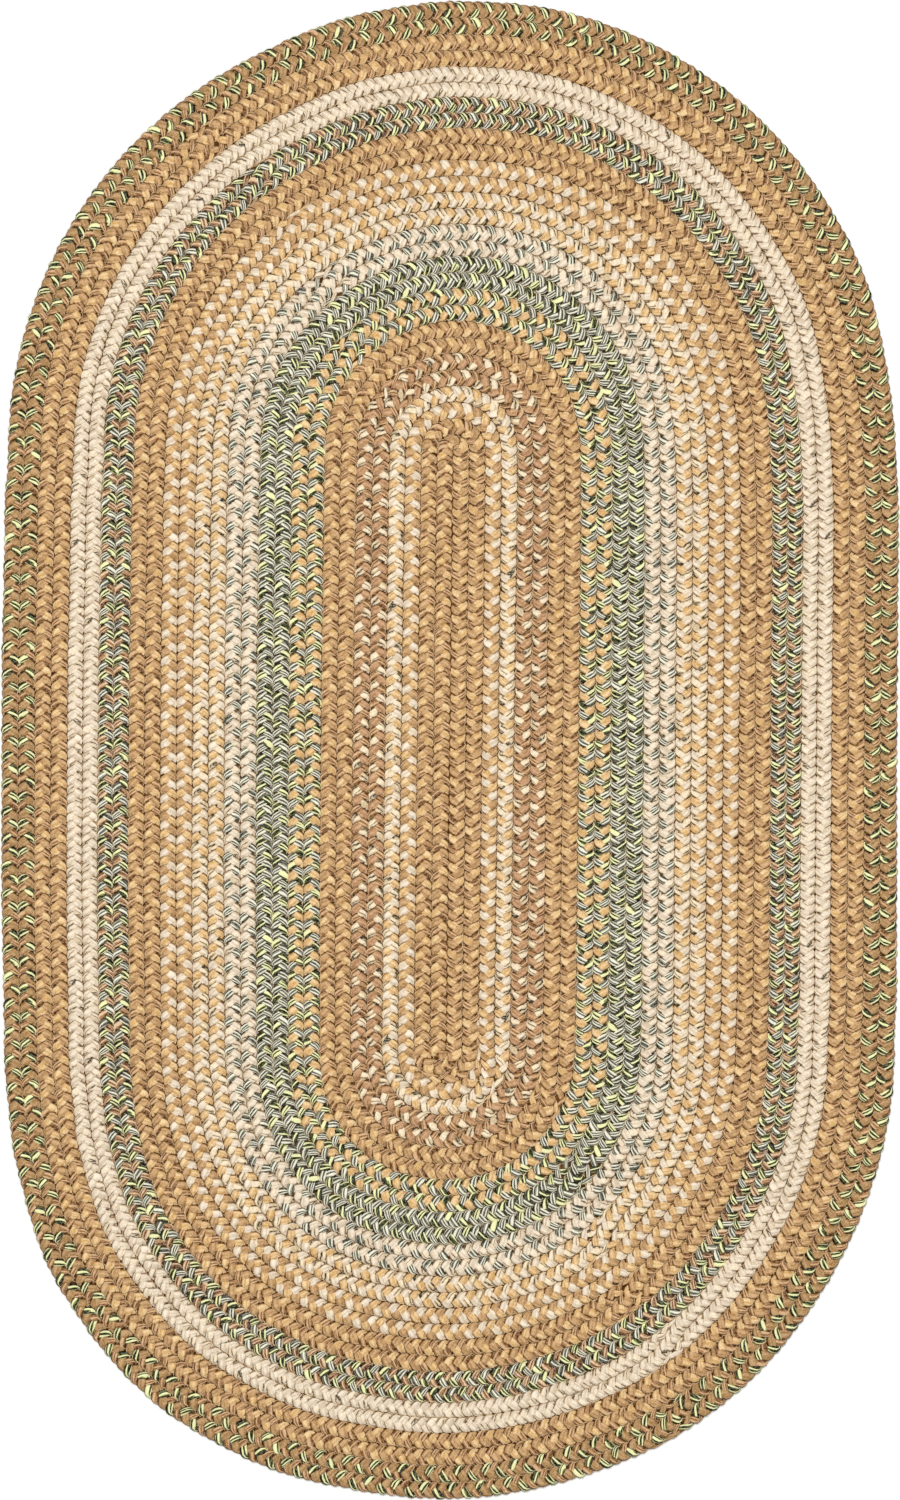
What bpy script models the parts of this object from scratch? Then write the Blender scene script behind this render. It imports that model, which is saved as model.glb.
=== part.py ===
# Oval braided rug, lying flat: one sewn solid whose rows of braid stand up as ribs.
#
# The rug is laid up from 14 bands. Each band is one length of flat braid that goes twice round
# the oval, clockwise and outwards, with its first tail tapered against the band inside it and
# its last tail tapered against the band outside it. Beyond the bands' joints the rows are
# evenly spaced ovals about a straight core that runs along Y.
# Units are metres, +Z is up, and the origin is under the middle of the rug, on the floor.

import math

import bmesh
import bpy
from mathutils.geometry import delaunay_2d_cdt

# Driving sizes
ROW_PITCH = 0.0163
ROWS_PER_BAND = 2
BANDS = 14
CORE_LENGTH = 0.6105
CREST_HEIGHT = 0.009
FURROW_HEIGHT = 0.0055
RIM_HEIGHT = 0.004
RIM_UNDERCUT = 0.0025
JOINT_LENGTH = 0.07

OUTER_RADIUS = BANDS * ROWS_PER_BAND * ROW_PITCH

# A station is a place round the oval, clockwise seen from above: 0 to 1 goes up the left side,
# 1 to 2 round the far end, 2 to 3 down the right side and 3 to 4 round the near end.
TURN = 4.0
LONGEST_JOINT = 0.4  # half of a joint, in stations, on the small ovals near the core

# How far the rim stands out from an even oval, in metres
UNEVENNESS = (
    # station, offset
    (0.00, -0.0022),
    (0.30, 0.0005),
    (0.60, 0.0002),
    (0.90, -0.0026),
    (1.00, -0.0062),
    (1.20, -0.0070),
    (1.35, -0.0078),
    (1.45, -0.0025),
    (1.50, 0.0008),
    (1.60, 0.0058),
    (1.70, 0.0060),
    (1.85, 0.0020),
    (1.95, -0.0045),
    (2.10, -0.0003),
    (2.50, -0.0019),
    (2.90, -0.0022),
    (3.00, -0.0046),
    (3.15, -0.0063),
    (3.30, -0.0024),
    (3.40, -0.0030),
    (3.55, 0.0000),
    (3.65, 0.0075),
    (3.72, 0.0115),
    (3.83, 0.0088),
    (3.92, 0.0005),
    (3.96, -0.0032),
    (4.00, -0.0022),
)

# Where each band's tails meet, from the rim to the core
JOINT_STATIONS = (
    3.325,
    1.285,
    3.295,
    1.300,
    3.300,
    1.300,
    3.280,
    1.300,
    3.240,
    1.250,
    3.140,
    1.250,
    3.160,
    3.580,
)

# Points along a line: on a straight side, and round an end from the smallest oval to the largest
SIDE_SPANS = 4
FEWEST_END_SPANS = 8
MOST_END_SPANS = 28
JOINT_SPANS = 5
CLEAR_OF_JOINT = 0.011  # even stations nearer to a joint than this are dropped

SHOULDER_SHARE = 0.24  # how far in from each edge of a row its flat top begins
NARROWEST_RIB = 0.4    # a tail keeps its rib down to this share of a full row

RUG_COLOUR = (0.462, 0.314, 0.178, 1.0)


def smooth_step(x):
    x = min(max(x, 0.0), 1.0)
    return x * x * (3.0 - 2.0 * x)


def rim_offset(station):
    """How far the rim stands out at a station, eased between the rows of the table."""
    station %= TURN
    for (start, before), (end, after) in zip(UNEVENNESS, UNEVENNESS[1:]):
        if station <= end:
            return before + (after - before) * smooth_step((station - start) / (end - start))
    return UNEVENNESS[-1][1]


def rug_point(station, radius):
    """The place of a station on the oval that lies a radius away from the core."""
    station %= TURN
    radius *= 1.0 + rim_offset(station) / OUTER_RADIUS
    side = int(station)
    along = station - side
    if side == 0:
        return -radius, (along - 0.5) * CORE_LENGTH
    if side == 2:
        return radius, (0.5 - along) * CORE_LENGTH
    angle = math.pi * (1.0 - along) if side == 1 else -math.pi * along
    centre = 0.5 * CORE_LENGTH if side == 1 else -0.5 * CORE_LENGTH
    return radius * math.cos(angle), centre + radius * math.sin(angle)


class Band:
    """One length of braid, twice round the oval."""

    def __init__(self, number):
        self.inner = (BANDS - 1 - number) * ROWS_PER_BAND * ROW_PITCH
        self.outer = self.inner + ROWS_PER_BAND * ROW_PITCH
        middle = 0.5 * (self.inner + self.outer)
        self.joint = JOINT_STATIONS[number]
        self.reach = min(LONGEST_JOINT, 0.5 * JOINT_LENGTH / (math.pi * middle))

    def crossing(self, station):
        """Runs from 0 to 1 as a line crosses over at a joint."""
        return smooth_step((station + self.reach) / (2.0 * self.reach))

    def row_edges(self, station):
        """Inner and outer edge of the braid, whose stations count on through both turns."""
        first = self.crossing(station - self.joint)
        second = self.crossing(station - self.joint - TURN)
        third = self.crossing(station - self.joint - 2.0 * TURN)
        return (
            self.inner + ROW_PITCH * (second + third),
            self.inner + ROW_PITCH * (first + second),
        )

    def joint_stations(self, turn):
        """Stations across the joint as it is passed for the given time."""
        middle = self.joint + TURN * turn
        return [
            middle + self.reach * (2.0 * i / JOINT_SPANS - 1.0)
            for i in range(JOINT_SPANS + 1)
        ]


def even_stations(radius, first, last):
    """Stations spread round the oval, finer round the ends of the larger ones."""
    share = radius / OUTER_RADIUS
    end_spans = round(FEWEST_END_SPANS + (MOST_END_SPANS - FEWEST_END_SPANS) * share)
    stations = []
    for quarter in range(int(first), int(last) + 1):
        spans = SIDE_SPANS if quarter % 2 == 0 else end_spans
        stations += [quarter + i / spans for i in range(spans)]
    return [station for station in stations if first <= station < last]


def with_joints(stations, joints):
    """Stations of a line, those near a joint replaced by the joint's own."""
    for joint in joints:
        before = joint[0] - CLEAR_OF_JOINT
        after = joint[-1] + CLEAR_OF_JOINT
        stations = [station for station in stations if not before <= station <= after]
    return sorted(stations + [station for joint in joints for station in joint])


def ring_line(bands, radius):
    """The closed furrow between two bands, with points where their tails end."""
    joints = [band.joint_stations(0) for band in bands]
    stations = with_joints(even_stations(radius, 0.0, TURN), joints)
    return [rug_point(station, radius) for station in stations]


def furrow_line(band):
    """The furrow between a band's two turns, from the ring inside it to the ring outside it."""
    joints = [band.joint_stations(0), band.joint_stations(1)]
    middle = 0.5 * (band.inner + band.outer)
    stations = even_stations(middle, joints[0][0], joints[1][-1])
    stations = with_joints(stations, joints)
    return [rug_point(station, band.row_edges(station)[1]) for station in stations]


def shoulder_line(band, side):
    """One edge of the flat top of a band's rib, as points with their height."""
    joints = [band.joint_stations(turn) for turn in range(ROWS_PER_BAND + 1)]
    middle = 0.5 * (band.inner + band.outer)
    stations = even_stations(middle, joints[0][0], joints[-1][-1])
    stations = with_joints(stations, joints)
    line = []
    for station in stations:
        inner, outer = band.row_edges(station)
        share = (outer - inner) / ROW_PITCH
        if share < NARROWEST_RIB:
            continue
        across = SHOULDER_SHARE if side == 0 else 1.0 - SHOULDER_SHARE
        radius = inner + (outer - inner) * across
        height = FURROW_HEIGHT + (CREST_HEIGHT - FURROW_HEIGHT) * share
        line.append((*rug_point(station, radius), height))
    return line


class Relief:
    """Lines drawn on the rug's top, each point with its height, to be joined by triangles."""

    def __init__(self):
        self.points = []
        self.heights = []
        self.edges = []

    def add(self, line, height=None, closed=False):
        first = len(self.points)
        for point in line:
            self.points.append(point[:2])
            self.heights.append(point[2] if height is None else height)
        last = len(self.points) - 1
        self.edges += [(i, i + 1) for i in range(first, last)]
        if closed:
            self.edges.append((last, first))

    def triangles(self):
        points, _, faces, sources, _, _ = delaunay_2d_cdt(
            self.points, self.edges, [], 1, 1e-6
        )
        corners = [
            (point[0], point[1], self.heights[source[0]])
            for point, source in zip(points, sources)
        ]
        return corners, faces


def rug_relief():
    bands = [Band(number) for number in range(BANDS)]
    relief = Relief()
    for outside, inside in zip([None] + bands, bands):
        neighbours = [band for band in (outside, inside) if band is not None]
        height = RIM_HEIGHT if outside is None else FURROW_HEIGHT
        relief.add(ring_line(neighbours, inside.outer), height, closed=True)
    core = [(0.0, (0.5 - i / SIDE_SPANS) * CORE_LENGTH) for i in range(SIDE_SPANS)]
    for band in bands:
        lead_in = core if band.inner == 0.0 else []
        relief.add(lead_in + furrow_line(band), FURROW_HEIGHT)
        for side in (0, 1):
            relief.add(shoulder_line(band, side))
    return relief


def make_rug():
    corners, faces = rug_relief().triangles()
    mesh = bmesh.new()
    verts = [mesh.verts.new(corner) for corner in corners]
    for face in faces:
        mesh.faces.new([verts[i] for i in face])

    # The rim turns under, down to a flat face on the floor.
    rim = [edge for edge in mesh.edges if edge.is_boundary]
    low_rim = bmesh.ops.extrude_edge_only(mesh, edges=rim)["geom"]
    for vert in (item for item in low_rim if isinstance(item, bmesh.types.BMVert)):
        core_y = min(max(vert.co.y, -0.5 * CORE_LENGTH), 0.5 * CORE_LENGTH)
        reach = math.hypot(vert.co.x, vert.co.y - core_y)
        inwards = 1.0 - RIM_UNDERCUT / reach
        vert.co.x *= inwards
        vert.co.y = core_y + (vert.co.y - core_y) * inwards
        vert.co.z = 0.0
    foot = [item for item in low_rim if isinstance(item, bmesh.types.BMEdge)]
    bmesh.ops.contextual_create(mesh, geom=foot)

    low_x, high_x = min(v.co.x for v in mesh.verts), max(v.co.x for v in mesh.verts)
    low_y, high_y = min(v.co.y for v in mesh.verts), max(v.co.y for v in mesh.verts)
    middle = (-0.5 * (low_x + high_x), -0.5 * (low_y + high_y), 0.0)
    bmesh.ops.translate(mesh, verts=mesh.verts, vec=middle)
    bmesh.ops.recalc_face_normals(mesh, faces=mesh.faces)

    data = bpy.data.meshes.new("braided_rug")
    mesh.to_mesh(data)
    mesh.free()
    rug = bpy.data.objects.new("braided_rug", data)
    bpy.context.scene.collection.objects.link(rug)
    return rug


def yarn_material():
    material = bpy.data.materials.new("braided_yarn")
    material.use_nodes = True
    shader = material.node_tree.nodes["Principled BSDF"]
    shader.inputs["Base Color"].default_value = RUG_COLOUR
    shader.inputs["Roughness"].default_value = 0.9
    shader.inputs["Metallic"].default_value = 0.0
    return material


for old in list(bpy.data.objects):
    bpy.data.objects.remove(old)

braided_rug = make_rug()
braided_rug.data.materials.append(yarn_material())
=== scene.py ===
# Oval braided rug seen from straight above: 14 lengths of three-strand braid, each laid twice
# round a straight core and laced edge to edge. Metres, unless a name or note says millimetres.
import math

import bpy
import numpy as np
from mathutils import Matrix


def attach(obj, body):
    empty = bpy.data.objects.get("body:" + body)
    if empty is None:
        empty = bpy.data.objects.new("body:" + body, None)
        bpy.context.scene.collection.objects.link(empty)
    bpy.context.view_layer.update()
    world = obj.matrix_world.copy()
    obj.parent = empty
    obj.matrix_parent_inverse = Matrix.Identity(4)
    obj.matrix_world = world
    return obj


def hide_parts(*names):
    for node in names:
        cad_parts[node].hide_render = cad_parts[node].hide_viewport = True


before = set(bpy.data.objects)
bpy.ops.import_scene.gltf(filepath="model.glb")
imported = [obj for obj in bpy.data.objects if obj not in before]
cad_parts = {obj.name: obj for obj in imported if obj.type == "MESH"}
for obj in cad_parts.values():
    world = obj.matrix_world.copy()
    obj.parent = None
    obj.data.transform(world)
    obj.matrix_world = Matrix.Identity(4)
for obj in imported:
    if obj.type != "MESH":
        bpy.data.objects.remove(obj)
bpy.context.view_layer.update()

rug = dict(
    rowPitch=0.0163,       # from one row of braid to the next
    bandCount=14,          # lengths of braid, each twice round
    coreLength=0.6105,     # the straight middle that every row is laid round
    jointLength=0.07,      # over this much a tail is tapered in
    longestJoint=0.4,      # half a joint, in stations, on the small ovals
    middleHeight=0.0045,   # of the braid, above the floor
    steps=2000,            # places worked out along a run, from one station to the next
    # the innermost rows lean a little: metres across for each metre along, and where they cross
    # the middle line, all fading out between two radii
    lean=0.0115,
    leanFrom=0.070,
    leanFade=(0.06, 0.20),
)
rug["outerRadius"] = rug["bandCount"] * 2 * rug["rowPitch"]

# A station is a place round the oval, clockwise from above: 0 to 1 up the left side, 1 to 2 round
# the far end, 2 to 3 down the right side, 3 to 4 round the near end. The rim stands out unevenly:
unevenness = np.array([
    # station, offset
    (0.00, -0.0022), (0.30, 0.0005), (0.60, 0.0002), (0.90, -0.0026), (1.00, -0.0062),
    (1.20, -0.0070), (1.35, -0.0078), (1.45, -0.0025), (1.50, 0.0008), (1.60, 0.0058),
    (1.70, 0.0060), (1.85, 0.0020), (1.95, -0.0045), (2.10, -0.0003), (2.50, -0.0019),
    (2.90, -0.0022), (3.00, -0.0046), (3.15, -0.0063), (3.30, -0.0024), (3.40, -0.0030),
    (3.55, 0.0000), (3.65, 0.0075), (3.72, 0.0115), (3.83, 0.0088), (3.92, 0.0005),
    (3.96, -0.0032), (4.00, -0.0022),
])

# From the rim inwards: the yarns in the order they come up along the braid, the station where
# the tails meet, and where a lobe of the first yarn sits on the left inner, right inner, left
# outer and right outer run of the band, in millimetres above the rug's middle.
bands = [
    dict(yarns=("darkTan", "brownMarl", "greenMarl"), joint=3.325, lobes=(-9.2, -9.9, 4.6, 6.5)),
    dict(yarns=("gold", "brownMarl", "tan"), joint=1.285, lobes=(9.8, -10.0, 11.2, -12.6)),
    dict(yarns=("cream", "cream", "linedCream"), joint=3.295, lobes=(3.1, -12.5, -1.9, 11.0)),
    dict(yarns=("greyMarl", "rustMarl", "greenMarl"), joint=1.300, lobes=(-10.3, -9.0, 1.5, -7.1)),
    dict(yarns=("gold", "brownMarl", "tan"), joint=3.300, lobes=(-1.0, -2.0, 4.6, -12.3)),
    dict(yarns=("cream", "tan", "gold"), joint=1.300, lobes=(-6.0, 2.2, 7.5, -0.3)),
    dict(yarns=("creamMarl", "gold", "cream"), joint=3.280, lobes=(13.9, 12.1, -12.9, -0.6)),
    dict(yarns=("greyMarl", "cream", "linedCream"), joint=1.300, lobes=(-2.0, -4.1, 4.1, -4.2)),
    dict(yarns=("greenMarl", "greyMarl", "greyMarl"), joint=3.240, lobes=(-1.3, -11.4, -8.1, -7.3)),
    dict(yarns=("gold", "greenMarl", "greyMarl"), joint=1.250, lobes=(-2.0, 13.4, 10.2, 2.0)),
    dict(yarns=("gold", "brownMarl", "tan"), joint=3.140, lobes=(-4.7, 0.8, -5.8, -5.1)),
    dict(yarns=("creamMarl", "brownMarl", "redTan"), joint=1.250, lobes=(9.8, -11.6, -13.6, 11.7)),
    dict(yarns=("cream", "tan", "gold"), joint=3.160, lobes=(4.5, 8.2, -5.6, -10.6),
         outerYarns=("cream", "creamMarl", "gold")),
    dict(yarns=("gold", "brownMarl", "tan"), joint=3.580, lobes=(3.1, 11.6, -4.5, -11.9)),
]

braid = dict(
    period=0.0279,         # one strand's full turn from side to side, on a straight run
    endPeriod=0.0286,      # the same round the ends
    tailStretch=1.3,       # how much longer the period gets as a tail runs out
    reach=0.0083,          # from the middle of the braid to its edge
    lift=0.0015,           # how far it goes up and down
    liftLead=-0.30,        # radians by which it is up before it is half way in
    halfWidth=0.0050,      # of a strand, where it lies on top
    halfHeight=0.0024,
    lobeTurn=0.15,         # turns from where a strand is outermost to the middle of its lobe
    lobeStart=0.40,        # turns to where it is hidden: one lobe ends there and the next begins
    # ring places in a half period: closer together where the strand is on top
    ringTurns=(0.0, 0.05, 0.12, 0.20, 0.33),
    # corners of a strand's section, in degrees from its inner side
    sectionAngles=(10, 60, 120, 170, 270),
    belly=1.3,             # how much deeper a strand's underside is than its top is high
    pinch=0.16,            # how much narrower a strand gets where it dives
    widening=0.6,          # power of the sine by which it widens away from the fold
    foldHeight=0.72,       # shares of the height that it has at the fold, and where it dives
    diveHeight=0.92,
    # what is left of each at the very end of a tail
    tailSwing=0.10,
    tailLift=0.35,
    tailWidth=0.25,
    tailHeight=0.45,
    tailClear=0.03,        # turns from the end to the first full ring
    # unevenness: turns from one chance value to the next, radians of a turn, shares of the swing
    # and width, and metres of height
    looseSpread=0.5,
    looseTurn=0.12,
    looseSwing=0.04,
    looseWidth=0.10,
    looseLift=0.00025,
    cellPeriods=16,        # the yarn pattern repeats after this many periods
    cellStart=0.83,        # turns to the ring, under another strand, where it does so
    mapMargin=0.02,        # of a third of the map, kept clear on both sides of a strand
    strandLength=36.0,     # millimetres of strand in one period
    strandGirth=17.0,      # millimetres round it
    seed=11,
)

# The rows don't lie quite evenly either. In millimetres outwards: by how far out a row is, and by
# the place round the oval, the second fading out towards the core and the rim.
rowShift = np.array([
    # radius, shift
    (0.0000, 0.0), (0.0650, 0.5), (0.1300, 0.9), (0.1950, 1.2), (0.2600, 1.2), (0.3260, 1.1),
    (0.3586, -0.8), (0.3912, -2.0), (0.4238, -1.3), (0.4564, -1.2),
])
sideShift = np.array([
    # station, shift
    (0.00, 0.9), (0.25, 0.8), (0.50, 0.15), (0.75, -0.5), (1.00, -0.9), (1.25, -0.7), (1.50, 0.5),
    (1.75, 1.0), (2.00, 0.9), (2.25, 0.7), (2.50, 0.1), (2.75, -0.9), (3.00, -1.7), (3.25, -1.5),
    (3.50, -0.1), (3.75, 0.7), (4.00, 0.9),
])
sideFade = np.array([
    # radius, share of the side shift
    (0.0, 0.0), (0.2, 1.0), (0.39, 1.0), (rug["outerRadius"], 0.0),
])


def smoothStep(x):
    # 3x^2 - 2x^3, from 0 to 1
    x = np.clip(x, 0.0, 1.0)
    return x * x * (3.0 - 2.0 * x)


def lengthAlong(x, y):
    # of a line through the points, up to each of them
    return np.concatenate([[0.0], np.cumsum(np.hypot(np.diff(x), np.diff(y)))])


def rimOffset(station):
    # eased from each row of the table to the next
    row = np.searchsorted(unevenness[:, 0], station, side="right") - 1
    row = np.clip(row, 0, len(unevenness) - 2)
    share = (station - unevenness[row, 0]) / (unevenness[row + 1, 0] - unevenness[row, 0])
    before, after = unevenness[row, 1], unevenness[row + 1, 1]
    return before + (after - before) * smoothStep(share)


def ovalPoint(station, radius, settled=True):
    # straight sides at x = -r and x = r, and half circles of radius r about the two core ends,
    # with r grown by the rim's offset in proportion, and then moved by the shifts above
    station = np.mod(station, 4.0)
    grown = radius * (1.0 + rimOffset(station) / rug["outerRadius"])
    if settled:
        fade = np.interp(radius, sideFade[:, 0], sideFade[:, 1])
        shift = np.interp(radius, rowShift[:, 0], rowShift[:, 1])
        shift = shift + fade * np.interp(station, sideShift[:, 0], sideShift[:, 1])
        grown = grown + 0.001 * shift
    side = np.floor(station)
    along = station - side
    length = rug["coreLength"]
    angle = np.where(side == 1, math.pi * (1.0 - along), -math.pi * along)
    x = np.select([side == 0, side == 2], [-grown, grown], grown * np.cos(angle))
    y = np.select(
        [side == 0, side == 2, side == 1],
        [(along - 0.5) * length, (0.5 - along) * length, 0.5 * length + grown * np.sin(angle)],
        -0.5 * length + grown * np.sin(angle),
    )
    return x, y


# The CAD model is centred on its outline, so every point here is moved by the same amount.
outlineStations = np.linspace(0.0, 4.0, 2 * rug["steps"] + 1)
outlineX, outlineY = ovalPoint(outlineStations, rug["outerRadius"], settled=False)
middleX = 0.5 * (outlineX.min() + outlineX.max())
middleY = 0.5 * (outlineY.min() + outlineY.max())


def centredPoint(station, radius):
    x, y = ovalPoint(station, radius)
    along = np.clip(y, -0.5 * rug["coreLength"], 0.5 * rug["coreLength"])
    share = np.interp(radius, rug["leanFade"], (1.0, 0.0))
    return x + rug["lean"] * (along - rug["leanFrom"]) * share - middleX, y - middleY


def bandPlace(number):
    # radius of the ring inside a band, the station of its joint, and half the joint in stations
    inner = (rug["bandCount"] - 1 - number) * 2 * rug["rowPitch"]
    reach = 0.5 * rug["jointLength"] / (math.pi * (inner + rug["rowPitch"]))
    return inner, bands[number]["joint"], min(rug["longestJoint"], reach)


def crossings(station, joint, reach, count):
    # how far across a row a line has moved, from 0 to 1, for each time that it passes the joint
    passes = joint + 4.0 * np.arange(count)[:, None]
    return smoothStep((station - passes + reach) / (2.0 * reach))


def layBand(number):
    # A band's run over its length: the middle line is half way between an inner and an outer edge
    # that each move out a row as they pass the joint, and the braid's turns are the length over
    # the period, eased so that lobes sit where the table says.
    inner, joint, reach = bandPlace(number)
    pitch = rug["rowPitch"]
    station = np.linspace(joint - reach, joint + 8.0 + reach, 8 * rug["steps"] + 1)
    first, second, third = crossings(station, joint, reach, 3)
    innerEdge = inner + pitch * (second + third)
    outerEdge = inner + pitch * (first + second)
    middle = 0.5 * (innerEdge + outerEdge)
    share = (outerEdge - innerEdge) / pitch
    length = lengthAlong(*centredPoint(station, middle))

    onEnd = np.mod(np.floor(station), 2.0) == 1.0
    period = np.where(onEnd, braid["endPeriod"], braid["period"])
    period = period * (1.0 + braid["tailStretch"] * (1.0 - share))
    natural = np.concatenate([[0.0], np.cumsum(np.diff(length) / period[1:])])
    # where the four runs of the table begin, and which way each goes
    firstRight = 2.0 if joint < 2.0 else 6.0
    sides = np.array([4.0, firstRight, 8.0, firstRight + 4.0])
    upwards = np.array([1.0, -1.0, 1.0, -1.0])
    places = 0.001 * np.array(bands[number]["lobes"])
    wanted = np.sort(sides + 0.5 + upwards * places / rug["coreLength"])
    anchors = np.interp(wanted, station, natural)
    lobes = np.round(anchors - braid["lobeTurn"]) + braid["lobeTurn"]
    # the same shift from the first and the last of them to well past the ends
    beyond = natural[-1]
    before = np.concatenate([[anchors[0] - beyond], anchors, [anchors[-1] + beyond]])
    after = np.concatenate([[lobes[0] - beyond], lobes, [lobes[-1] + beyond]])
    turns = np.interp(natural, before, after)
    return dict(station=station, middle=middle, share=share, length=length, turns=turns)


def smoothNoise(rng, turns, spread):
    # random values one per spread of turns, joined by smooth curves
    first = math.floor(turns.min() / spread) - 1
    values = rng.uniform(-1.0, 1.0, math.ceil(turns.max() / spread) - first + 3)
    place = turns / spread - first
    index = np.floor(place).astype(int)
    share = smoothStep(place - index)
    return values[index] * (1.0 - share) + values[index + 1] * share


def strandOffsets(yarnNames):
    # turns by which each strand follows the first, from the girths of the strands between them
    girths = np.array([yarnLooks[name]["girth"] for name in yarnNames])
    middles = np.cumsum(girths) - 0.5 * girths
    return (middles - middles[0]) / girths.sum()


def fromLeast(least, share):
    # least where the share is none, and all where it is whole
    return least + (1.0 - least) * share


def strandRings(run, offset, yarn, rng):
    # Points of one strand, ring by ring, and the strand's own turns at each ring: its middle goes
    # side to side as a cosine and up and down twice as often, and its section is a flattened D
    # that is narrow at the fold and wide on top.
    looks = yarnLooks[yarn]
    half = np.array(braid["ringTurns"])
    pattern = np.concatenate([half, half + 0.5])
    start, stop = run["turns"][0] - offset, run["turns"][-1] - offset
    whole = np.arange(math.floor(start), math.ceil(stop) + 1)
    rings = (whole[:, None] + pattern[None, :]).ravel()
    rings = rings[(rings > start + braid["tailClear"]) & (rings < stop - braid["tailClear"])]
    rings = np.concatenate([[start], rings, [stop]])

    spread = braid["looseSpread"]
    phase = 2.0 * math.pi * rings + braid["looseTurn"] * smoothNoise(rng, rings, spread)
    level = looks["level"] * np.cos(2.0 * phase) / (2.0 * math.pi)
    length = np.interp(rings + offset + level, run["turns"], run["length"])
    share = fromLeast(braid["tailSwing"], np.interp(length, run["length"], run["share"]))
    swing = 1.0 + braid["looseSwing"] * smoothNoise(rng, rings, spread)
    swing = (braid["reach"] - looks["edge"]) * swing
    across = swing * np.tanh(looks["snap"] * np.cos(phase)) / math.tanh(looks["snap"]) * share
    upAndDown = np.sin(2.0 * phase + braid["liftLead"])
    rise = braid["lift"] * upAndDown * fromLeast(braid["tailLift"], share)
    rise = rise + braid["looseLift"] * smoothNoise(rng, rings, spread)

    # direction of the strand on the flat, from the slopes of both
    step = np.gradient(length)
    slope = np.gradient(across)
    size = np.hypot(step, slope)
    alongPart, acrossPart = step / size, slope / size

    onTop = np.clip(upAndDown, 0.0, 1.0)
    inside = np.abs(np.sin(phase)) ** braid["widening"]
    widest = braid["halfWidth"] * looks["wide"] * (1.0 - braid["pinch"] * (1.0 - onTop))
    width = looks["edge"] + (widest - looks["edge"]) * inside
    width = width * (1.0 + braid["looseWidth"] * smoothNoise(rng, rings, spread))
    width = width * fromLeast(braid["tailWidth"], share)
    fold, dive = braid["foldHeight"], braid["diveHeight"]
    height = fold + (dive - fold) * inside + (looks["tall"] - dive) * onTop
    height = braid["halfHeight"] * height * fromLeast(braid["tailHeight"], share)

    angle = np.radians(np.array(braid["sectionAngles"], float))
    deeper = np.where(np.sin(angle) > 0, 1.0, braid["belly"])
    sideways = width[:, None] * np.cos(angle)[None, :]
    upwards = height[:, None] * np.sin(angle)[None, :] * deeper
    lengthAt = length[:, None] - sideways * acrossPart[:, None]
    acrossAt = across[:, None] + sideways * alongPart[:, None]
    stationAt = np.interp(lengthAt, run["length"], run["station"])
    radiusAt = np.interp(lengthAt, run["length"], run["middle"]) + acrossAt
    x, y = centredPoint(stationAt, radiusAt)
    z = rug["middleHeight"] + rise[:, None] + upwards
    return np.stack([x, y, z], axis=-1), rings


def tubeFaces(ringCount, sides, first):
    # four corners between each pair of rings, side by side round the section
    ring = np.arange(ringCount - 1)[:, None] * sides
    side = np.arange(sides)[None, :]
    after = (side + 1) % sides
    corners = [ring + side, ring + sides + side, ring + sides + after, ring + after]
    return first + np.stack(corners, axis=-1).reshape(-1, 4)


def makeMesh(name, points, quads, caps, materials, materialIndex, uv=None):
    # a mesh from whole arrays: quads as an n by 4 table, then caps as polygons of one length
    mesh = bpy.data.meshes.new(name)
    mesh.vertices.add(len(points))
    mesh.vertices.foreach_set("co", np.ascontiguousarray(points, np.float32).ravel())
    corners = quads.ravel()
    sizes = np.full(len(quads), 4)
    if len(caps):
        corners = np.concatenate([corners, caps.ravel()])
        sizes = np.concatenate([sizes, np.full(len(caps), caps.shape[1])])
    starts = np.concatenate([[0], np.cumsum(sizes)[:-1]])
    mesh.loops.add(len(corners))
    mesh.loops.foreach_set("vertex_index", corners.astype(np.int32))
    mesh.polygons.add(len(sizes))
    mesh.polygons.foreach_set("loop_start", starts.astype(np.int32))
    mesh.polygons.foreach_set("material_index", materialIndex.astype(np.int32))
    if uv is not None:
        layer = mesh.uv_layers.new(name="OFBake")
        layer.data.foreach_set("uv", np.ascontiguousarray(uv, np.float32).ravel())
    mesh.update(calc_edges=True)
    mesh.shade_smooth()
    mesh.validate()
    thing = bpy.data.objects.new(name, mesh)
    bpy.context.scene.collection.objects.link(thing)
    for material in materials:
        mesh.materials.append(material)
    return thing


def quadMap(begin, end, low, high):
    # the four corners of each face on the map, from its ends along and its sides across
    along = np.stack([begin, end, end, begin], axis=-1)
    across = np.stack([low, low, high, high], axis=-1)
    return np.stack([along, across], axis=-1).reshape(-1, 2)


def linearColour(hexColour):
    # sRGB hex to linear, by the usual two-part curve
    value = np.array([int(hexColour[i:i + 2], 16) for i in (1, 3, 5)]) / 255.0
    linear = np.where(value <= 0.04045, value / 12.92, ((value + 0.055) / 1.055) ** 2.4)
    return (*linear.tolist(), 1.0)


def addNode(tree, kind, settings, inputs):
    # one node, with its settings, and its inputs as fixed values or as links from other nodes
    node = tree.nodes.new("ShaderNode" + kind)
    for name, value in settings.items():
        setattr(node, name, value)
    for name, value in inputs.items():
        if isinstance(value, bpy.types.NodeSocket):
            tree.links.new(value, node.inputs[name])
        else:
            node.inputs[name].default_value = value
    return node


def newMaterial(name, roughness, specular):
    # a plain material to build on: its tree and its shader
    material = bpy.data.materials.new(name)
    material.use_nodes = True
    shader = material.node_tree.nodes["Principled BSDF"]
    shader.inputs["Roughness"].default_value = roughness
    shader.inputs["Specular IOR Level"].default_value = specular
    return material, material.node_tree, shader


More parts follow.
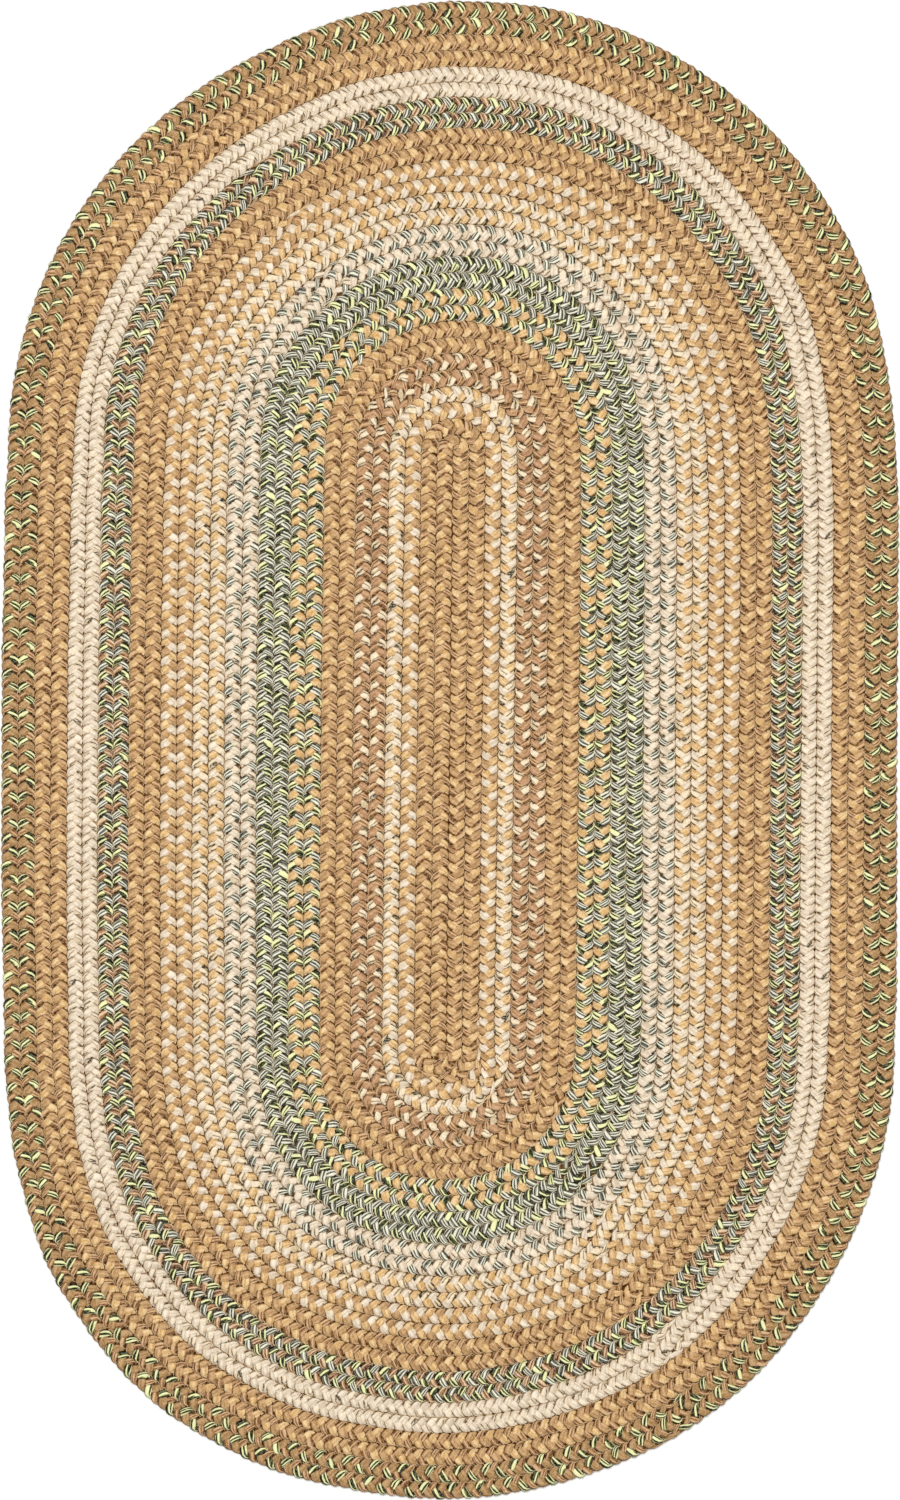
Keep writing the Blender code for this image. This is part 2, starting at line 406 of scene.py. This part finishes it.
# A strand is wound from threads of several tones: share is how much of the surface each takes, and
# stripes how often they come round. fold is the darker tone of worn fibre, pale the lightest, wear
# how much of both there is, gapShade the painted shade where strands meet and dive under each
# other, and outline how strongly that painted shade is laid on. girth, wide and tall say how thick
# the strand is, level how straight across it lies, snap how suddenly it crosses, and edge is half
# its width in metres where it folds over at the edge of the braid.
yarnLooks = {
    "tan": dict(threads=(("#a67f50", 0.26), ("#ba9467", 0.46), ("#c8a379", 0.28)), stripes=4,
                fold="#8c602f", pale="#e8caa2", gapShade="#6c400e", wear=0.4, outline=0.85,
                girth=1.08, wide=1.14, tall=1.0, level=0.18, snap=0.4, edge=0.0022),
    "darkTan": dict(threads=(("#987446", 0.26), ("#aa865b", 0.46), ("#b8956c", 0.28)), stripes=4,
                    fold="#80562a", pale="#d9bc94", gapShade="#5c360a", wear=0.4, outline=0.85,
                    girth=1.08, wide=1.14, tall=1.0, level=0.18, snap=0.4, edge=0.0022),
    "redTan": dict(threads=(("#a27852", 0.26), ("#b68f69", 0.46), ("#c59f7b", 0.28)), stripes=4,
                   fold="#8c5e38", pale="#e0b998", gapShade="#633510", wear=0.4, outline=0.85,
                   girth=1.0, wide=1.14, tall=1.0, level=0.18, snap=0.4, edge=0.0022),
    "gold": dict(threads=(("#c89e60", 0.26), ("#d6b17f", 0.46), ("#e3c596", 0.28)), stripes=4,
                 fold="#a87838", pale="#f8dfb4", gapShade="#784c12", wear=0.4, outline=0.85,
                 girth=0.97, wide=1.08, tall=1.0, level=0.18, snap=0.4, edge=0.0022),
    "cream": dict(threads=(("#cebca2", 0.26), ("#deceb7", 0.46), ("#ebdeca", 0.28)), stripes=4,
                  fold="#bca27c", pale="#f6ead6", gapShade="#92714a", wear=0.35, outline=0.75,
                  girth=0.97, wide=1.10, tall=0.95, level=0.18, snap=0.4, edge=0.0022),
    "linedCream": dict(threads=(("#241a0a", 0.12), ("#d4c0a3", 0.38), ("#e9d9c0", 0.50)), stripes=2,
                       fold="#c0a680", pale="#f8ecd9", gapShade="#8c6a40", wear=0.4, outline=0.75,
                       girth=1.0, wide=1.04, tall=1.0, level=0.2, snap=0.8, edge=0.0018),
    "creamMarl": dict(threads=(("#0e0b04", 0.17), ("#ccb48c", 0.29), ("#ecdabc", 0.54)), stripes=3,
                      fold="#a88c60", pale="#fbeed6", gapShade="#45310f", wear=0.4, outline=0.8,
                      girth=0.95, wide=1.06, tall=1.12, level=0.1, snap=0.6, edge=0.0016),
    "brownMarl": dict(threads=(("#54300f", 0.24), ("#a27a50", 0.46), ("#d4b088", 0.30)), stripes=4,
                      fold="#7c5430", pale="#eecaa2", gapShade="#5a3410", wear=0.4, outline=0.85,
                      girth=0.90, wide=0.86, tall=0.76, level=0.0, snap=0.9, edge=0.0006),
    "rustMarl": dict(threads=(("#341606", 0.26), ("#a2784e", 0.44), ("#dfc4a0", 0.30)), stripes=4,
                     fold="#7c5436", pale="#edcfb4", gapShade="#2e1a06", wear=0.4, outline=0.85,
                     girth=0.95, wide=0.94, tall=0.82, level=0.0, snap=0.9, edge=0.0006),
    "greenMarl": dict(threads=(("#060802", 0.42), ("#7c8046", 0.13), ("#e8e7b0", 0.45)), stripes=4,
                      fold="#6e7038", pale="#f6f4cc", gapShade="#161604", wear=0.2, outline=0.85,
                      girth=0.98, wide=0.92, tall=0.82, level=0.0, snap=0.9, edge=0.0006),
    "greyMarl": dict(threads=(("#1c1c12", 0.30), ("#8e8c79", 0.38), ("#ebe7d2", 0.32)), stripes=6,
                     fold="#66614c", pale="#f8f4e4", gapShade="#1c180a", wear=0.2, outline=0.85,
                     girth=1.0, wide=0.94, tall=0.82, level=0.0, snap=0.9, edge=0.0006),
}

yarnSurface = dict(
    roughness=0.95,
    specular=0.04,
    toneDark=(0.94, 0.93, 0.93, 1.0),    # the tone of a lobe is somewhere between these two
    toneLight=(1.03, 1.03, 1.01, 1.0),
    driftScale=(0.03, 0.15, 1.0),        # of the slow noise, per millimetre along and round
    drift=2.0,             # stripes that it moves the pattern by
    threadBlend=0.02,      # half the soft edge between two threads, as a share of the surface
    # for each tone of fibre, how many specks to a millimetre, and where its noise is looked up
    fibres=(("fold", 0.60, 0.0), ("pale", 0.75, 31.7)),
    fibreLength=(0.6, 1.0, 1.0),         # the specks are longer along the strand
    fibreRange=(0.47, 0.66),             # of the noise, from no fibre to all
    # painted shade drawn as dark lines, in shares of the way round a strand: half the way between
    # its two flanks, and from where to where the painted shade beside a flank fades out
    flankReach=0.24,
    flankShade=(0.03, 0.08),
    # painted shade where the strand dives at either end of a lobe
    endShade=(0.35, 0.42),  # in shares of a lobe from its middle: from where to where it comes in
    napScale=1.6,          # per millimetre
    napHeight=0.0006,
    napStrength=0.35,
)


def yarnMaterial(name, looks):
    # Wool-blend yarn, carded and loosely spun into a thick strand, so it is matt all over and shows
    # its threads. Seen from above, the threads run along the strand as stripes, fibres stand out
    # lighter or darker, each lobe has a slightly different tone, and painted shade draws dark lines
    # where lobes meet. The real fibres are about 0.02 mm, and are drawn as specks of about 1.5 mm.
    surface = yarnSurface
    material, tree, shader = newMaterial(name, surface["roughness"], surface["specular"])
    place = addNode(tree, "UVMap", dict(uv_map="OFBake"), {}).outputs["UV"]

    # millimetres along and round the strand
    size = (braid["cellPeriods"] * braid["strandLength"], 3.0 * braid["strandGirth"], 1.0)
    metric = addNode(tree, "Mapping", {}, {"Vector": place, "Scale": size}).outputs["Vector"]

    # lobes are half a turn long, change where the strand is hidden, and each has a random number
    lobes = addNode(tree, "Mapping", {}, {
        "Vector": place,
        "Location": (2.0 * (braid["cellStart"] - braid["lobeStart"]), 0.0, 0.0),
        "Scale": (2.0 * braid["cellPeriods"], 3.0, 1.0),
    }).outputs["Vector"]
    lobe = addNode(tree, "VectorMath", dict(operation="FLOOR"), {0: lobes})
    inLobe = addNode(tree, "VectorMath", dict(operation="FRACTION"), {0: lobes})
    parts = addNode(tree, "SeparateXYZ", {}, {"Vector": inLobe.outputs["Vector"]})
    alongLobe, aroundStrand = parts.outputs["X"], parts.outputs["Y"]
    chance = addNode(tree, "TexWhiteNoise", dict(noise_dimensions="2D"), {
        "Vector": lobe.outputs["Vector"],
    }).outputs["Value"]

    # stripes: a triangle wave round the strand, moved by chance in each lobe and by slow noise
    slow = addNode(tree, "Mapping", {}, {"Vector": metric, "Scale": surface["driftScale"]})
    drift = addNode(tree, "TexNoise", dict(noise_dimensions="2D"), {
        "Vector": slow.outputs["Vector"],
        "Scale": 1.0,
        "Detail": 1.0,
    })
    start = addNode(tree, "Math", dict(operation="MULTIPLY_ADD"), {
        0: drift.outputs["Fac"],
        1: surface["drift"],
        2: chance,
    })
    turning = addNode(tree, "Math", dict(operation="MULTIPLY_ADD"), {
        0: aroundStrand,
        1: float(looks["stripes"]),
        2: start.outputs[0],
    })
    swinging = addNode(tree, "Math", dict(operation="PINGPONG"), {0: turning.outputs[0], 1: 0.5})
    wave = addNode(tree, "Math", dict(operation="MULTIPLY"), {0: swinging.outputs[0], 1: 2.0})
    threads = addNode(tree, "ValToRGB", {}, {"Fac": wave.outputs[0]})
    ramp = threads.color_ramp
    ramp.elements[0].color = linearColour(looks["threads"][0][0])
    ramp.elements[1].color = linearColour(looks["threads"][-1][0])
    level = 0.0
    for (before, share), (after, _) in zip(looks["threads"], looks["threads"][1:]):
        level += share
        ramp.elements.new(level - surface["threadBlend"]).color = linearColour(before)
        ramp.elements.new(level + surface["threadBlend"]).color = linearColour(after)

    # tone of the lobe
    tone = addNode(tree, "Mix", dict(data_type="RGBA"), {
        0: chance,
        6: surface["toneDark"],
        7: surface["toneLight"],
    })
    colour = addNode(tree, "Mix", dict(data_type="RGBA", blend_type="MULTIPLY"), {
        0: 1.0,
        6: threads.outputs["Color"],
        7: tone.outputs[2],
    }).outputs[2]

    # fibres: worn ones towards the fold colour, raised ones towards the pale
    for target, scale, shift in surface["fibres"]:
        moved = addNode(tree, "Mapping", {}, {
            "Vector": metric,
            "Location": (shift, shift, 0.0),
            "Scale": surface["fibreLength"],
        })
        fibres = addNode(tree, "TexNoise", dict(noise_dimensions="2D"), {
            "Vector": moved.outputs["Vector"],
            "Scale": scale,
            "Detail": 3.0,
            "Roughness": 0.7,
        })
        amount = addNode(tree, "MapRange", {}, {
            "Value": fibres.outputs["Fac"],
            "From Min": surface["fibreRange"][0],
            "From Max": surface["fibreRange"][1],
            "To Max": looks["wear"],
        })
        colour = addNode(tree, "Mix", dict(data_type="RGBA"), {
            0: amount.outputs["Result"],
            6: colour,
            7: linearColour(looks[target]),
        }).outputs[2]

    # painted shade: dark lines at the flanks, and where the strand dives at either end of a lobe
    fromFlank = addNode(tree, "Math", dict(operation="PINGPONG"), {
        0: aroundStrand,
        1: surface["flankReach"],
    })
    atFlank = addNode(tree, "MapRange", dict(interpolation_type="SMOOTHSTEP"), {
        "Value": fromFlank.outputs[0],
        "From Min": surface["flankShade"][0],
        "From Max": surface["flankShade"][1],
        "To Min": 1.0,
        "To Max": 0.0,
    })
    aside = addNode(tree, "Math", dict(operation="SUBTRACT"), {0: alongLobe, 1: 0.5})
    fromMiddle = addNode(tree, "Math", dict(operation="ABSOLUTE"), {0: aside.outputs[0]})
    atEnd = addNode(tree, "MapRange", dict(interpolation_type="SMOOTHSTEP"), {
        "Value": fromMiddle.outputs[0],
        "From Min": surface["endShade"][0],
        "From Max": surface["endShade"][1],
    })
    depth = addNode(tree, "Math", dict(operation="MAXIMUM"), {
        0: atFlank.outputs["Result"],
        1: atEnd.outputs["Result"],
    })
    dark = addNode(tree, "Math", dict(operation="MULTIPLY"), {
        0: depth.outputs[0],
        1: looks["outline"],
    })
    # lays the painted shade over the yarn's colour
    withPaintedShade = addNode(tree, "Mix", dict(data_type="RGBA"), {
        0: dark.outputs[0],
        6: colour,
        7: linearColour(looks["gapShade"]),
    })
    tree.links.new(withPaintedShade.outputs[2], shader.inputs["Base Color"])

    # nap: short raised fibres
    nap = addNode(tree, "TexNoise", dict(noise_dimensions="2D"), {
        "Vector": metric,
        "Scale": surface["napScale"],
        "Detail": 2.0,
    })
    bump = addNode(tree, "Bump", {}, {
        "Height": nap.outputs["Fac"],
        "Strength": surface["napStrength"],
        "Distance": surface["napHeight"],
    })
    tree.links.new(bump.outputs["Normal"], shader.inputs["Normal"])
    return material


yarns = {}
for yarnName, yarnLook in yarnLooks.items():
    yarns[yarnName] = yarnMaterial("spunYarn" + yarnName[0].upper() + yarnName[1:], yarnLook)
print("yarn materials:", len(yarns))


def sectionShares():
    # how far round the section each corner is, by the lengths of its sides
    angle = np.radians(np.array(braid["sectionAngles"] + braid["sectionAngles"][:1], float))
    length = lengthAlong(braid["halfWidth"] * np.cos(angle), braid["halfHeight"] * np.sin(angle))
    return length / length[-1]


def makeBand(number):
    # three strands along a band's run as one mesh, with the yarns as its materials
    band = bands[number]
    run = layBand(number)
    rng = np.random.default_rng(braid["seed"] + number)
    offsets = strandOffsets(band["yarns"])
    names = list(dict.fromkeys(band["yarns"] + band.get("outerYarns", ())))
    sides = len(braid["sectionAngles"])
    around = sectionShares()
    points, quads, caps = [], [], []
    quadYarn, capYarn, quadUv, capUv = [], [], [], []
    first = 0
    for strand in range(3):
        rings, turns = strandRings(run, offsets[strand], band["yarns"][strand], rng)
        count = len(rings)
        points.append(rings.reshape(-1, 3))
        quads.append(tubeFaces(count, sides, first))
        # a strand may change yarn half way, where the band moves out a row
        length = np.interp(turns + offsets[strand], run["turns"], run["length"])
        station = np.interp(length, run["length"], run["station"])
        index = np.full(count - 1, names.index(band["yarns"][strand]))
        if "outerYarns" in band:
            outer = station[:-1] > band["joint"] + 4.0
            index[outer] = names.index(band["outerYarns"][strand])
        quadYarn.append(np.repeat(index, sides))
        # along the map in whole cells, which meet where the strand is hidden; across in thirds
        place = (turns - braid["cellStart"]) / braid["cellPeriods"]
        cell = np.floor(0.5 * (place[:-1] + place[1:]))
        begin, end = place[:-1] - cell, place[1:] - cell
        margin = braid["mapMargin"]
        across = (strand + margin + (1.0 - 2.0 * margin) * around) / 3.0
        low, high = np.tile(across[:-1], count - 1), np.tile(across[1:], count - 1)
        quadUv.append(quadMap(np.repeat(begin, sides), np.repeat(end, sides), low, high))
        # the two ends of the strand
        startCap = first + np.arange(sides)
        caps += [startCap, startCap[::-1] + (count - 1) * sides]
        capYarn += [index[0], index[-1]]
        capUv.append(np.stack([np.full(sides, begin[0]), across[:-1]], axis=-1))
        capUv.append(np.stack([np.full(sides, end[-1]), across[:-1][::-1]], axis=-1))
        first += count * sides
    return makeMesh(
        "braidBand%02d" % (number + 1),
        np.concatenate(points),
        np.concatenate(quads),
        np.array(caps),
        [yarns[name] for name in names],
        np.concatenate(quadYarn + [np.array(capYarn)]),
        np.concatenate(quadUv + capUv),
    )


pieces = [makeBand(number) for number in range(rug["bandCount"])]
print("bands of braid:", len(pieces), "faces:", sum(len(piece.data.polygons) for piece in pieces))

lacing = dict(
    thickness=0.0006,
    stitch=0.0093,         # one stitch for each lobe
    flatness=1.4,          # how much wider it is than an even triangle
    reach=0.0016,          # to each side of the furrow
    height=0.0066,
    threadColour="#ecd3aa",
    # the darker colour is painted shade in the grooves between the plies
    grooveShadeColour="#b98f58",
    twists=2,              # of the two plies, in half a stitch
    groove=(0.02, 0.2),    # between the plies, from its dark middle to its edge, in turns
    grooveDepth=0.0002,
    grooveStrength=0.4,
    cellStitches=32,       # half stitches in one cell of the pattern
)


def laceSeams():
    # A thread along every furrow, out and in by turns: each half stitch crosses from one side of
    # the furrow to the other, and the section is a flattened triangle. Furrows are rings round the
    # oval between bands, and a spiral inside each band.
    angle = np.radians([90.0, 210.0, 330.0])
    sides = len(angle)
    seams = []
    oneTurn = np.linspace(0.0, 4.0, 4 * rug["steps"] + 1)
    for number in range(rug["bandCount"]):
        inner, joint, reach = bandPlace(number)
        if inner > 0.0:
            seams.append((oneTurn, np.full(len(oneTurn), inner)))
        station = joint + oneTurn
        rows = crossings(station, joint, reach, 2).sum(axis=0)
        seams.append((station, inner + rug["rowPitch"] * rows))

    points, quads, maps = [], [], []
    first = 0
    for station, radius in seams:
        length = lengthAlong(*centredPoint(station, radius))
        count = 2 * round(length[-1] / lacing["stitch"])
        place = np.linspace(0.0, length[-1], count + 1)
        side = np.where(np.arange(count + 1) % 2 == 0, 1.0, -1.0) * lacing["reach"]
        stationAt, radiusAt = np.interp(place, length, station), np.interp(place, length, radius)
        x, y = centredPoint(stationAt, radiusAt + side)
        centre = np.stack([x, y, np.full(count + 1, lacing["height"])], axis=-1)
        tangent = np.gradient(centre, axis=0)
        tangent /= np.linalg.norm(tangent, axis=1)[:, None]
        flat = np.stack([-tangent[:, 1], tangent[:, 0], np.zeros(count + 1)], axis=-1)
        half = 0.5 * lacing["thickness"]
        wide = half * lacing["flatness"]
        ring = centre[:, None, :] + wide * np.cos(angle)[None, :, None] * flat[:, None, :]
        ring = ring + half * np.sin(angle)[None, :, None] * np.array([0.0, 0.0, 1.0])
        points.append(ring.reshape(-1, 3))
        quads.append(tubeFaces(count + 1, sides, first))
        begin = np.repeat(np.arange(count) % lacing["cellStitches"], sides) / lacing["cellStitches"]
        low = np.tile(np.arange(sides), count) / sides
        maps.append(quadMap(begin, begin + 1.0 / lacing["cellStitches"], low, low + 1.0 / sides))
        first += (count + 1) * sides
    return np.concatenate(points), np.concatenate(quads), np.concatenate(maps)


def threadMaterial():
    # Waxed cotton thread, laid up from two plies: a slight gloss, and slanting light and dark
    # bands, the dark ones painted shade in the grooves between the plies. The real plies turn every
    # 2 mm or so, and are drawn at 2.3 mm.
    material, tree, shader = newMaterial("waxedCottonThread", roughness=0.7, specular=0.2)
    place = addNode(tree, "UVMap", dict(uv_map="OFBake"), {})
    turns = float(lacing["cellStitches"] * lacing["twists"])
    plies = addNode(tree, "Mapping", {}, {
        "Vector": place.outputs["UV"],
        "Scale": (turns, 1.0, 1.0),
    })
    parts = addNode(tree, "SeparateXYZ", {}, {"Vector": plies.outputs["Vector"]})
    slant = addNode(tree, "Math", dict(operation="ADD"), {
        0: parts.outputs["X"],
        1: parts.outputs["Y"],
    })
    ply = addNode(tree, "Math", dict(operation="PINGPONG"), {0: slant.outputs[0], 1: 0.5})
    shade = addNode(tree, "MapRange", dict(interpolation_type="SMOOTHSTEP"), {
        "Value": ply.outputs[0],
        "From Min": lacing["groove"][0],
        "From Max": lacing["groove"][1],
    })
    colour = addNode(tree, "Mix", dict(data_type="RGBA"), {
        0: shade.outputs["Result"],
        6: linearColour(lacing["grooveShadeColour"]),
        7: linearColour(lacing["threadColour"]),
    })
    tree.links.new(colour.outputs[2], shader.inputs["Base Color"])
    bump = addNode(tree, "Bump", {}, {
        "Height": shade.outputs["Result"],
        "Strength": lacing["grooveStrength"],
        "Distance": lacing["grooveDepth"],
    })
    tree.links.new(bump.outputs["Normal"], shader.inputs["Normal"])
    return material


lacePoints, laceQuads, laceMap = laceSeams()
noCaps = np.zeros((0, 3), int)
lacingThread = makeMesh("lacingThread", lacePoints, laceQuads, noCaps, [threadMaterial()],
                        np.zeros(len(laceQuads)), laceMap)
pieces.append(lacingThread)
print("lacing thread faces:", len(laceQuads))

# a sheet of painted shade under the braid, for what is seen down the gaps between strands
shadeSheet = dict(
    top=0.0052,
    bottom=0.0003,
    inset=0.0050,          # inside the rim
    rimPoints=192,
    mottle=0.004,          # size of the lighter and darker patches
    mottleRange=(0.35, 0.65),            # of the noise, from the deep colour to the light
    # the painted shade, at its darkest and its lightest
    deepShadeColour="#3c220c",
    paleShadeColour="#6a441c",
)


def makeShadeSheet():
    # a thin flat slab of painted shade with the rug's own outline, a little smaller: two flat faces
    # and a rim
    count = shadeSheet["rimPoints"]
    stations = np.linspace(0.0, 4.0, count + 1)[:-1]
    x, y = centredPoint(stations, rug["outerRadius"] - shadeSheet["inset"])
    top = np.stack([x, y, np.full(count, shadeSheet["top"])], axis=-1)
    low = np.stack([x, y, np.full(count, shadeSheet["bottom"])], axis=-1)
    side = np.arange(count)
    after = (side + 1) % count
    rim = np.stack([side, after, after + count, side + count], axis=-1)
    faces = np.stack([side[::-1], side + count])
    return np.concatenate([top, low]), rim, faces


def shadeSheetMaterial():
    # Painted shade for the undersides of the strands, seen only down the gaps: the spun yarn's
    # colour in shade, so very matt, with soft mottling.
    material, tree, shader = newMaterial("spunYarnInShade", roughness=1.0, specular=0.0)
    place = addNode(tree, "TexCoord", {}, {})
    mottle = addNode(tree, "TexNoise", {}, {
        "Vector": place.outputs["Object"],
        "Scale": 1.0 / shadeSheet["mottle"],
        "Detail": 2.0,
    })
    amount = addNode(tree, "MapRange", {}, {
        "Value": mottle.outputs["Fac"],
        "From Min": shadeSheet["mottleRange"][0],
        "From Max": shadeSheet["mottleRange"][1],
    })
    colour = addNode(tree, "Mix", dict(data_type="RGBA"), {
        0: amount.outputs["Result"],
        6: linearColour(shadeSheet["deepShadeColour"]),
        7: linearColour(shadeSheet["paleShadeColour"]),
    })
    tree.links.new(colour.outputs[2], shader.inputs["Base Color"])
    return material


innerPoints, innerRim, innerFaces = makeShadeSheet()
shadeSheetPiece = makeMesh("paintedShadeSheet", innerPoints, innerRim, innerFaces, [shadeSheetMaterial()],
                      np.zeros(len(innerRim) + len(innerFaces)))
pieces.append(shadeSheetPiece)
# the sheet of painted shade under the braid is in place
print("inner yarn is in place")

for piece in pieces:
    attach(piece, "root")
    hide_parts("braided_rug")

studio = dict(
    frameHeight=1.5253,    # metres of floor from the top to the bottom of the picture
    distance=6.0,          # of the camera above the floor
    clipEnd=50.0,
    floorColour="#f4f3f0",
    floorHalf=6.0,         # metres from the middle of the floor to its edge
    roomColour="#ffffff",
    room=0.35,             # strength of the light that comes from all round
    lights=[
        # name, place, size, watts
        ("softTop", (-0.5, 0.9, 5.0), 1.6, 187.0),
        ("softFill", (0.9, -0.8, 4.8), 1.6, 59.0),
    ],
)


def makeFloor():
    # matt white paper, plain so that the rug's edge reads clearly
    corners = [(-1.0, -1.0, 0.0), (1.0, -1.0, 0.0), (1.0, 1.0, 0.0), (-1.0, 1.0, 0.0)]
    points = studio["floorHalf"] * np.array(corners)
    material, _, shader = newMaterial("mattPaper", roughness=0.9, specular=0.5)
    shader.inputs["Base Color"].default_value = linearColour(studio["floorColour"])
    return makeMesh("floor", points, np.array([[0, 1, 2, 3]]), noCaps, [material], np.zeros(1))


def addLight(name, place, size, watts):
    # a round soft box that looks at the middle of the rug
    data = bpy.data.lights.new(name, "AREA")
    data.shape = "DISK"
    data.size = size
    data.energy = watts
    light = bpy.data.objects.new(name, data)
    light.location = place
    x, y, z = place
    light.rotation_euler = (math.atan2(math.hypot(x, y), z), 0.0, math.atan2(-x, y) + math.pi)
    bpy.context.scene.collection.objects.link(light)


makeFloor()
for name, place, size, watts in studio["lights"]:
    addLight(name, place, size, watts)

world = bpy.data.worlds.new("softRoom")
world.use_nodes = True
background = world.node_tree.nodes["Background"]
background.inputs["Color"].default_value = linearColour(studio["roomColour"])
background.inputs["Strength"].default_value = studio["room"]
bpy.context.scene.world = world

camera = bpy.data.objects.new("camera", bpy.data.cameras.new("camera"))
camera.location = (0.0, 0.0, studio["distance"])
cameraDrop = studio["distance"] - rug["middleHeight"]
camera.data.lens = camera.data.sensor_width * cameraDrop / studio["frameHeight"]
camera.data.clip_end = studio["clipEnd"]
bpy.context.scene.collection.objects.link(camera)
bpy.context.scene.camera = camera
bpy.context.scene.view_settings.view_transform = "Standard"
print("floor, lights and camera are in place")
